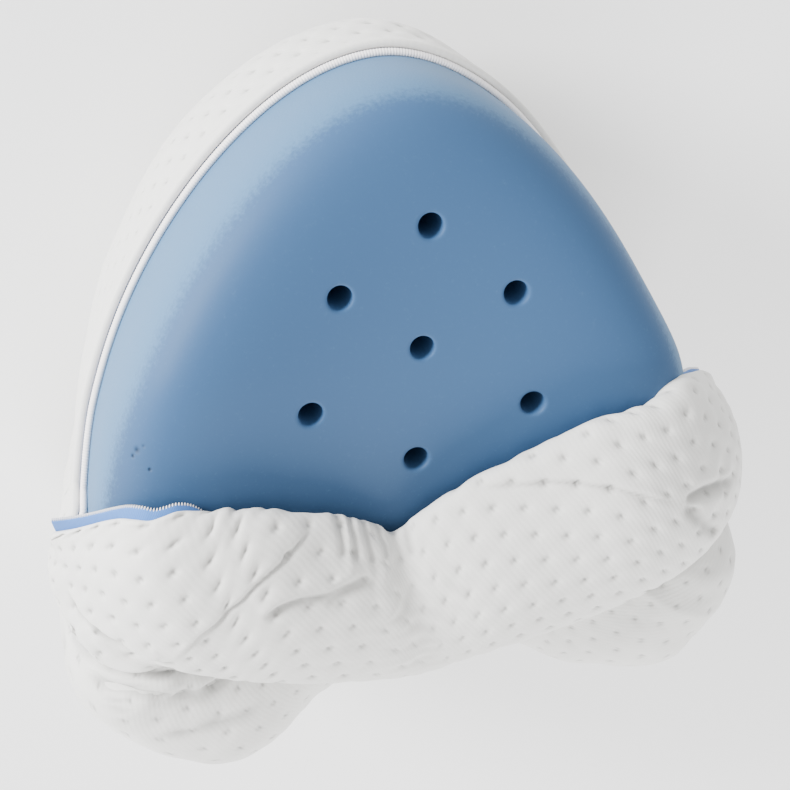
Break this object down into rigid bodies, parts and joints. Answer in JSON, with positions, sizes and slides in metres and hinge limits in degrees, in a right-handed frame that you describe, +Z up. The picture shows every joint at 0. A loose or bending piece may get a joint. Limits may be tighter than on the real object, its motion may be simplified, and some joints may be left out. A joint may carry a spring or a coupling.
{
  "type": "knee pillow",
  "caption": "Contoured knee and leg pillow: a blue moulded foam core with vent holes in a white quilted knit cover, unzipped and pulled down in bunched folds",
  "frame": {"origin": "middle of the pillow's box, on the surface that it lies on", "axes": "+Z up, out of the front leg face; +Y to the narrow end; +X to the right of someone who looks down on the face with the narrow end away"},
  "size_m": [0.2649, 0.2694, 0.1751],
  "materials": {
    "foam": "soft blue polyurethane foam with a smooth moulded skin",
    "knit": "white knit with a quilted dimple lattice",
    "zip_tape": "light blue woven tape"
  },
  "bodies": {
    "root": {"foam_core": "foam", "cover_back": "knit", "cover_front": "knit", "zip_tape_back": "zip_tape", "zip_tape_front": "zip_tape"}
  },
  "joints": []
}
